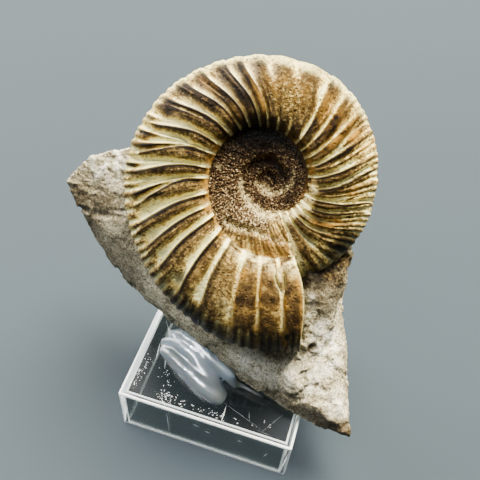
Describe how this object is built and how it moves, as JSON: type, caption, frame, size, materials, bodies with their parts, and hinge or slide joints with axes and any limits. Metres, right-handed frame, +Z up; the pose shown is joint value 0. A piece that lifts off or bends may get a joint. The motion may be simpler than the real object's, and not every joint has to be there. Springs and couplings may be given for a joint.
{
  "type": "fossil ammonite on a display stand",
  "caption": "Coiled ribbed fossil shell set in a wedge of limestone, glued on a clear open-bottomed plastic display box.",
  "frame": {"origin": "middle of the whole specimen's bounding box, on the surface that the stand rests on", "axes": "+Z up, -Y towards the side of the stand that the fossil faces, X along that side"},
  "size_m": [0.0928, 0.071, 0.094],
  "materials": {
    "shell_stone": "semi-gloss mineral",
    "limestone": "rough",
    "clear_polystyrene": "clear polished",
    "hot_melt_glue": "milky translucent"
  },
  "bodies": {
    "root": {"ammonite": "shell_stone", "matrix": "limestone", "stand": "clear_polystyrene", "glue": "hot_melt_glue"}
  },
  "joints": []
}
